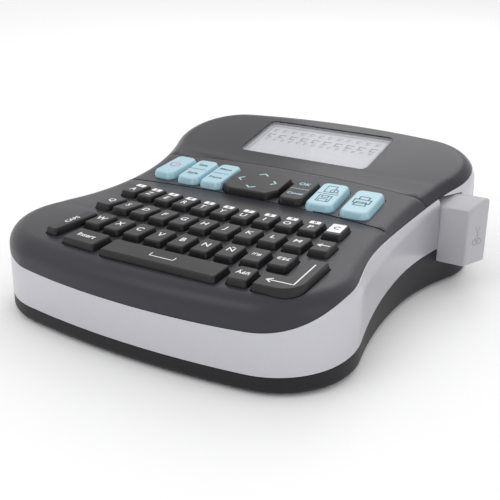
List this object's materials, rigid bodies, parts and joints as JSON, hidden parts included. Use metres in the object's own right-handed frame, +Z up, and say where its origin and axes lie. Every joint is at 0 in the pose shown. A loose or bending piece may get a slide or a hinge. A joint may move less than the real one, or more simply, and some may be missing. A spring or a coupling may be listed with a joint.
{
  "type": "label maker",
  "caption": "Desktop label maker with an arched keyboard, tilted display, side cutter button, rear tape door and sliding battery door.",
  "frame": {"origin": "on the table, under the middle of the case, between the four feet", "axes": "+X to the operator's right, +Y to the rear, +Z up"},
  "size_m": [0.166, 0.1818, 0.0552],
  "materials": {
    "charcoal_cover": "fine textured moulding",
    "dark_key": "satin moulding",
    "blue_key": "satin moulding",
    "silver_paint": "satin metallic paint",
    "dark_shell": "fine textured moulding",
    "clear_window": "clear moulding",
    "panel_grey": "polished film",
    "light_button": "satin moulding",
    "steel": "rolled sheet",
    "cell_wrap": "printed wrap",
    "board_green": "solder mask",
    "cassette_black": "satin moulding",
    "roller_rubber": "ground rubber",
    "foot_rubber": "moulded rubber"
  },
  "bodies": {
    "case": {"keyboard_bezel": "charcoal_cover", "display_bezel": "charcoal_cover", "lower_shell": "dark_shell", "silver_band": "silver_paint", "display_window": "clear_window", "lcd_panel": "panel_grey", "batteries": "cell_wrap", "main_board": "board_green", "tape_cassette": "cassette_black", "print_engine": "steel", "rubber_feet": "foot_rubber", "screws": "steel"},
    "key_a_body": {"key_a": "dark_key"},
    "key_z_body": {"key_z": "dark_key"},
    "key_e_body": {"key_e": "dark_key"},
    "key_r_body": {"key_r": "dark_key"},
    "key_t_body": {"key_t": "dark_key"},
    "key_y_body": {"key_y": "dark_key"},
    "key_u_body": {"key_u": "dark_key"},
    "key_i_body": {"key_i": "dark_key"},
    "key_o_body": {"key_o": "dark_key"},
    "key_p_body": {"key_p": "dark_key"},
    "key_clear_body": {"key_clear": "dark_key"},
    "key_q_body": {"key_q": "dark_key"},
    "key_s_body": {"key_s": "dark_key"},
    "key_d_body": {"key_d": "dark_key"},
    "key_f_body": {"key_f": "dark_key"},
    "key_g_body": {"key_g": "dark_key"},
    "key_h_body": {"key_h": "dark_key"},
    "key_j_body": {"key_j": "dark_key"},
    "key_k_body": {"key_k": "dark_key"},
    "key_l_body": {"key_l": "dark_key"},
    "key_m_body": {"key_m": "dark_key"},
    "key_backspace_body": {"key_backspace": "dark_key"},
    "key_w_body": {"key_w": "dark_key"},
    "key_x_body": {"key_x": "dark_key"},
    "key_c_body": {"key_c": "dark_key"},
    "key_v_body": {"key_v": "dark_key"},
    "key_b_body": {"key_b": "dark_key"},
    "key_n_body": {"key_n": "dark_key"},
    "key_enye_body": {"key_enye": "dark_key"},
    "key_symbols_body": {"key_symbols": "dark_key"},
    "key_currency_body": {"key_currency": "dark_key"},
    "key_insert_body": {"key_insert": "dark_key"},
    "key_space_body": {"key_space": "dark_key"},
    "key_accent_body": {"key_accent": "dark_key"},
    "key_caps_body": {"key_caps": "dark_key"},
    "key_enter_body": {"key_enter": "dark_key"},
    "key_power_body": {"key_power": "blue_key"},
    "key_format_body": {"key_format": "blue_key"},
    "key_settings_body": {"key_settings": "blue_key"},
    "key_confirm_body": {"key_confirm": "dark_key"},
    "key_preview_body": {"key_preview": "blue_key"},
    "key_print_body": {"key_print": "blue_key"},
    "key_arrows_body": {"key_arrows": "dark_key"},
    "tape_door_body": {"tape_door": "charcoal_cover"},
    "battery_door_body": {"battery_door": "dark_shell"},
    "cutter_body": {"cutter_button": "light_button", "cutter_blade": "steel"},
    "drive_roller_body": {"drive_roller": "roller_rubber"}
  },
  "joints": [
    {"name": "tape_door_hinge", "type": "hinge", "parent": "case", "child": "tape_door_body", "pos_m": [0, 0.0892, 0.0232], "axis": [-1, 0, 0], "range_deg": [0, 95]},
    {"name": "cutter_slide", "type": "slide", "parent": "case", "child": "cutter_body", "axis": [-1, 0, 0], "range_m": [0, 0.005], "stiffness_N_per_m": 400},
    {"name": "battery_door_slide", "type": "slide", "parent": "case", "child": "battery_door_body", "axis": [0, 1, 0], "range_m": [0, 0.012]},
    {"name": "drive_roller_turn", "type": "hinge", "parent": "case", "child": "drive_roller_body", "pos_m": [0.05, 0.06, 0.033], "axis": [0, 0, 1], "continuous": true},
    {"name": "key_enter_slide", "type": "slide", "parent": "case", "child": "key_enter_body", "axis": [0, 0.0562, -0.9984], "range_m": [0, 0.0012], "stiffness_N_per_m": 300},
    {"name": "key_arrows_slide", "type": "slide", "parent": "case", "child": "key_arrows_body", "axis": [0, 0.1288, -0.9917], "range_m": [0, 0.0012], "stiffness_N_per_m": 300},
    {"name": "key_print_slide", "type": "slide", "parent": "case", "child": "key_print_body", "axis": [0, 0.1258, -0.9921], "range_m": [0, 0.0012], "stiffness_N_per_m": 300},
    {"name": "key_space_slide", "type": "slide", "parent": "case", "child": "key_space_body", "axis": [0, 0.0783, -0.9969], "range_m": [0, 0.0012], "stiffness_N_per_m": 300},
    {"name": "key_a_slide", "type": "slide", "parent": "case", "child": "key_a_body", "axis": [0, 0.0378, -0.9993], "range_m": [0, 0.0012], "stiffness_N_per_m": 300},
    {"name": "key_z_slide", "type": "slide", "parent": "case", "child": "key_z_body", "axis": [0, 0.0338, -0.9994], "range_m": [0, 0.0012], "stiffness_N_per_m": 300},
    {"name": "key_e_slide", "type": "slide", "parent": "case", "child": "key_e_body", "axis": [0, 0.0307, -0.9995], "range_m": [0, 0.0012], "stiffness_N_per_m": 300},
    {"name": "key_r_slide", "type": "slide", "parent": "case", "child": "key_r_body", "axis": [0, 0.0285, -0.9996], "range_m": [0, 0.0012], "stiffness_N_per_m": 300},
    {"name": "key_t_slide", "type": "slide", "parent": "case", "child": "key_t_body", "axis": [0, 0.0272, -0.9996], "range_m": [0, 0.0012], "stiffness_N_per_m": 300},
    {"name": "key_y_slide", "type": "slide", "parent": "case", "child": "key_y_body", "axis": [0, 0.0268, -0.9996], "range_m": [0, 0.0012], "stiffness_N_per_m": 300},
    {"name": "key_u_slide", "type": "slide", "parent": "case", "child": "key_u_body", "axis": [0, 0.0273, -0.9996], "range_m": [0, 0.0012], "stiffness_N_per_m": 300},
    {"name": "key_i_slide", "type": "slide", "parent": "case", "child": "key_i_body", "axis": [0, 0.0287, -0.9996], "range_m": [0, 0.0012], "stiffness_N_per_m": 300},
    {"name": "key_o_slide", "type": "slide", "parent": "case", "child": "key_o_body", "axis": [0, 0.0311, -0.9995], "range_m": [0, 0.0012], "stiffness_N_per_m": 300},
    {"name": "key_p_slide", "type": "slide", "parent": "case", "child": "key_p_body", "axis": [0, 0.0343, -0.9994], "range_m": [0, 0.0012], "stiffness_N_per_m": 300},
    {"name": "key_clear_slide", "type": "slide", "parent": "case", "child": "key_clear_body", "axis": [0, 0.0384, -0.9993], "range_m": [0, 0.0012], "stiffness_N_per_m": 300},
    {"name": "key_q_slide", "type": "slide", "parent": "case", "child": "key_q_body", "axis": [0, -0.0195, -0.9998], "range_m": [0, 0.0012], "stiffness_N_per_m": 300},
    {"name": "key_s_slide", "type": "slide", "parent": "case", "child": "key_s_body", "axis": [0, -0.0233, -0.9997], "range_m": [0, 0.0012], "stiffness_N_per_m": 300},
    {"name": "key_d_slide", "type": "slide", "parent": "case", "child": "key_d_body", "axis": [0, -0.0154, -0.9999], "range_m": [0, 0.0012], "stiffness_N_per_m": 300},
    {"name": "key_f_slide", "type": "slide", "parent": "case", "child": "key_f_body", "axis": [0, 0.0084, -1], "range_m": [0, 0.0012], "stiffness_N_per_m": 300},
    {"name": "key_g_slide", "type": "slide", "parent": "case", "child": "key_g_body", "axis": [0, 0.0098, -1], "range_m": [0, 0.0012], "stiffness_N_per_m": 300},
    {"name": "key_h_slide", "type": "slide", "parent": "case", "child": "key_h_body", "axis": [0, 0.0099, -1], "range_m": [0, 0.0012], "stiffness_N_per_m": 300},
    {"name": "key_j_slide", "type": "slide", "parent": "case", "child": "key_j_body", "axis": [0, 0.0094, -1], "range_m": [0, 0.0012], "stiffness_N_per_m": 300},
    {"name": "key_k_slide", "type": "slide", "parent": "case", "child": "key_k_body", "axis": [0, -0.0085, -1], "range_m": [0, 0.0012], "stiffness_N_per_m": 300},
    {"name": "key_l_slide", "type": "slide", "parent": "case", "child": "key_l_body", "axis": [0, -0.0242, -0.9997], "range_m": [0, 0.0012], "stiffness_N_per_m": 300},
    {"name": "key_m_slide", "type": "slide", "parent": "case", "child": "key_m_body", "axis": [0, -0.0206, -0.9998], "range_m": [0, 0.0012], "stiffness_N_per_m": 300},
    {"name": "key_backspace_slide", "type": "slide", "parent": "case", "child": "key_backspace_body", "axis": [0, -0.016, -0.9999], "range_m": [0, 0.0012], "stiffness_N_per_m": 300},
    {"name": "key_w_slide", "type": "slide", "parent": "case", "child": "key_w_body", "axis": [0, 0.0428, -0.9991], "range_m": [0, 0.0012], "stiffness_N_per_m": 300},
    {"name": "key_x_slide", "type": "slide", "parent": "case", "child": "key_x_body", "axis": [0, 0.0448, -0.999], "range_m": [0, 0.0012], "stiffness_N_per_m": 300},
    {"name": "key_c_slide", "type": "slide", "parent": "case", "child": "key_c_body", "axis": [0, 0.0461, -0.9989], "range_m": [0, 0.0012], "stiffness_N_per_m": 300},
    {"name": "key_v_slide", "type": "slide", "parent": "case", "child": "key_v_body", "axis": [0, 0.0467, -0.9989], "range_m": [0, 0.0012], "stiffness_N_per_m": 300},
    {"name": "key_b_slide", "type": "slide", "parent": "case", "child": "key_b_body", "axis": [0, 0.0467, -0.9989], "range_m": [0, 0.0012], "stiffness_N_per_m": 300},
    {"name": "key_n_slide", "type": "slide", "parent": "case", "child": "key_n_body", "axis": [0, 0.0459, -0.9989], "range_m": [0, 0.0012], "stiffness_N_per_m": 300},
    {"name": "key_enye_slide", "type": "slide", "parent": "case", "child": "key_enye_body", "axis": [0, 0.0444, -0.999], "range_m": [0, 0.0012], "stiffness_N_per_m": 300},
    {"name": "key_symbols_slide", "type": "slide", "parent": "case", "child": "key_symbols_body", "axis": [0, 0.0423, -0.9991], "range_m": [0, 0.0012], "stiffness_N_per_m": 300},
    {"name": "key_currency_slide", "type": "slide", "parent": "case", "child": "key_currency_body", "axis": [0, 0.0394, -0.9992], "range_m": [0, 0.0012], "stiffness_N_per_m": 300},
    {"name": "key_insert_slide", "type": "slide", "parent": "case", "child": "key_insert_body", "axis": [0, 0.0759, -0.9971], "range_m": [0, 0.0012], "stiffness_N_per_m": 300},
    {"name": "key_accent_slide", "type": "slide", "parent": "case", "child": "key_accent_body", "axis": [0, 0.073, -0.9973], "range_m": [0, 0.0012], "stiffness_N_per_m": 300},
    {"name": "key_caps_slide", "type": "slide", "parent": "case", "child": "key_caps_body", "axis": [0, 0.0557, -0.9984], "range_m": [0, 0.0012], "stiffness_N_per_m": 300},
    {"name": "key_power_slide", "type": "slide", "parent": "case", "child": "key_power_body", "axis": [0, 0.1323, -0.9912], "range_m": [0, 0.0012], "stiffness_N_per_m": 300},
    {"name": "key_format_slide", "type": "slide", "parent": "case", "child": "key_format_body", "axis": [0, 0.1305, -0.9914], "range_m": [0, 0.0012], "stiffness_N_per_m": 300},
    {"name": "key_settings_slide", "type": "slide", "parent": "case", "child": "key_settings_body", "axis": [0, 0.13, -0.9915], "range_m": [0, 0.0012], "stiffness_N_per_m": 300},
    {"name": "key_confirm_slide", "type": "slide", "parent": "case", "child": "key_confirm_body", "axis": [0, 0.1276, -0.9918], "range_m": [0, 0.0012], "stiffness_N_per_m": 300},
    {"name": "key_preview_slide", "type": "slide", "parent": "case", "child": "key_preview_body", "axis": [0, 0.1282, -0.9918], "range_m": [0, 0.0012], "stiffness_N_per_m": 300}
  ]
}
